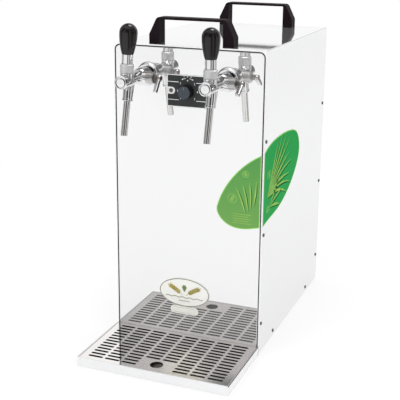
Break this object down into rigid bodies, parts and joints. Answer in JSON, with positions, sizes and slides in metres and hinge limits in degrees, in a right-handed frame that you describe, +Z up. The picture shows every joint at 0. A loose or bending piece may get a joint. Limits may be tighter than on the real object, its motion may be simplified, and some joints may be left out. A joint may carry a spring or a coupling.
{
  "type": "draft beer dispenser",
  "caption": "Counter-top draft beer cooler in a polished steel case, with lever taps, flow compensators, a thermostat dial, carrying handles and a drip tray with a slotted grille.",
  "frame": {"origin": "middle of the footprint on the counter, halfway between the drip tray's front edge and the rear fittings", "axes": "+Z up, +X to the right as the user faces the taps, -Y towards the user"},
  "size_m": [0.283, 0.5888, 0.5904],
  "materials": {
    "polished_steel": "mirror polished stainless steel",
    "sheet_steel": "zinc plated sheet",
    "gasket_rubber": "matt black",
    "foot_rubber": "matt black",
    "handle_plastic": "fine moulded grain",
    "screw_steel": "satin",
    "tap_chrome": "mirror bright",
    "tap_satin": "satin",
    "knob_plastic": "gloss black",
    "valve_plastic": "natural",
    "seal_rubber": "matt",
    "badge_cream": "gloss",
    "label_cream": "gloss",
    "decal_front": "gloss film",
    "decal_side": "gloss film",
    "dial_plate": "satin grey print",
    "dial_knob": "satin",
    "dial_spindle": "turned",
    "grille_steel": "brushed",
    "tray_steel": "polished",
    "block_aluminium": "cast",
    "line_steel": "drawn tube",
    "foam": "rigid foam",
    "compressor_black": "gloss black",
    "condenser_fins": "plain",
    "fan_plastic": "satin black",
    "copper_pipe": "copper",
    "fitting_plastic": "pale grey",
    "collet_plastic": "black",
    "gland_plastic": "black"
  },
  "bodies": {
    "cabinet": {"outer_cover": "polished_steel", "front_panel": "polished_steel", "edge_gasket": "gasket_rubber", "rear_panel": "sheet_steel", "base_pan": "sheet_steel", "feet": "foot_rubber", "shelf": "sheet_steel", "side_screws": "screw_steel", "front_handle": "handle_plastic", "rear_handle": "handle_plastic", "handle_screws": "screw_steel", "badge": "badge_cream", "label_strip": "label_cream", "decal_front": "decal_front", "decal_side": "decal_side", "thermostat_plate": "dial_plate", "plate_screws": "screw_steel", "thermostat_body": "valve_plastic", "tap_rosettes": "tap_chrome", "tap_shanks": "tap_chrome", "shank_nuts": "screw_steel", "beer_lines": "line_steel", "cooling_block": "block_aluminium", "foam_jacket": "foam", "compressor": "compressor_black", "compressor_grommets": "foot_rubber", "condenser": "condenser_fins", "fan_shroud": "sheet_steel", "fan_motor": "compressor_black", "refrigerant_pipes": "copper_pipe", "beer_inlet_fittings": "fitting_plastic", "beer_inlet_nuts": "fitting_plastic", "mains_gland": "gland_plastic", "left_tap_body": "tap_chrome", "left_tap_cap": "tap_chrome", "left_tap_collar": "tap_satin", "left_tap_spout": "tap_satin", "right_tap_body": "tap_chrome", "right_tap_cap": "tap_chrome", "right_tap_collar": "tap_satin", "right_tap_spout": "tap_satin"},
    "thermostat_dial": {"dial_spindle": "dial_spindle", "dial_knob": "dial_knob"},
    "drip_tray": {"drip_tray": "tray_steel"},
    "drip_grille": {"drip_grille": "grille_steel"},
    "fan": {"fan_rotor": "fan_plastic"},
    "left_lever": {"left_tap_lever": "tap_chrome", "left_tap_knob": "knob_plastic"},
    "left_plunger": {"left_tap_plunger": "valve_plastic", "left_tap_seal": "seal_rubber"},
    "left_regulator": {"left_tap_regulator": "tap_chrome"},
    "left_cone": {"left_tap_cone": "valve_plastic"},
    "left_collet": {"left_inlet_collet": "collet_plastic"},
    "right_lever": {"right_tap_lever": "tap_chrome", "right_tap_knob": "knob_plastic"},
    "right_plunger": {"right_tap_plunger": "valve_plastic", "right_tap_seal": "seal_rubber"},
    "right_regulator": {"right_tap_regulator": "tap_chrome"},
    "right_cone": {"right_tap_cone": "valve_plastic"},
    "right_collet": {"right_inlet_collet": "collet_plastic"}
  },
  "joints": [
    {"name": "left_lever_hinge", "type": "hinge", "parent": "cabinet", "child": "left_lever", "pos_m": [-0.0735, -0.2184, 0.5105], "axis": [1, 0, 0], "range_deg": [0, 22]},
    {"name": "left_plunger_slide", "type": "slide", "parent": "cabinet", "child": "left_plunger", "axis": [0, 1, 0], "range_m": [0, 0.0065]},
    {"name": "left_regulator_hinge", "type": "hinge", "parent": "cabinet", "child": "left_regulator", "pos_m": [-0.0445, -0.1729, 0.494], "axis": [1, 0, 0], "range_deg": [-48, 22]},
    {"name": "left_cone_slide", "type": "slide", "parent": "cabinet", "child": "left_cone", "axis": [0, 1, 0], "range_m": [-0.00247, 0.00119]},
    {"name": "left_collet_slide", "type": "slide", "parent": "cabinet", "child": "left_collet", "axis": [0, -1, 0], "range_m": [0, 0.0015], "stiffness_N_per_m": 400},
    {"name": "right_lever_hinge", "type": "hinge", "parent": "cabinet", "child": "right_lever", "pos_m": [0.0735, -0.2184, 0.5105], "axis": [1, 0, 0], "range_deg": [0, 22]},
    {"name": "right_plunger_slide", "type": "slide", "parent": "cabinet", "child": "right_plunger", "axis": [0, 1, 0], "range_m": [0, 0.0065]},
    {"name": "right_regulator_hinge", "type": "hinge", "parent": "cabinet", "child": "right_regulator", "pos_m": [0.1025, -0.1729, 0.494], "axis": [1, 0, 0], "range_deg": [-30, 40]},
    {"name": "right_cone_slide", "type": "slide", "parent": "cabinet", "child": "right_cone", "axis": [0, 1, 0], "range_m": [-0.00158, 0.00208]},
    {"name": "right_collet_slide", "type": "slide", "parent": "cabinet", "child": "right_collet", "axis": [0, -1, 0], "range_m": [0, 0.0015], "stiffness_N_per_m": 400},
    {"name": "dial_hinge", "type": "hinge", "parent": "cabinet", "child": "thermostat_dial", "pos_m": [0, -0.1352, 0.4685], "axis": [0, 1, 0], "range_deg": [-135, 135]},
    {"name": "tray_slide", "type": "slide", "parent": "cabinet", "child": "drip_tray", "axis": [0, -1, 0], "range_m": [0, 0.04]},
    {"name": "grille_lift", "type": "slide", "parent": "drip_tray", "child": "drip_grille", "axis": [0, 0, 1], "range_m": [0, 0.03]},
    {"name": "fan_spin", "type": "hinge", "parent": "cabinet", "child": "fan", "pos_m": [0, 0.1966, 0.116], "axis": [0, 1, 0], "continuous": true}
  ],
  "couplings": [
    {"joint": "left_plunger_slide", "follows": "left_lever_hinge", "m_per_rad": 0.0163},
    {"joint": "left_cone_slide", "follows": "left_regulator_hinge", "m_per_rad": 0.00283},
    {"joint": "right_plunger_slide", "follows": "right_lever_hinge", "m_per_rad": 0.0163},
    {"joint": "right_cone_slide", "follows": "right_regulator_hinge", "m_per_rad": 0.00283}
  ]
}
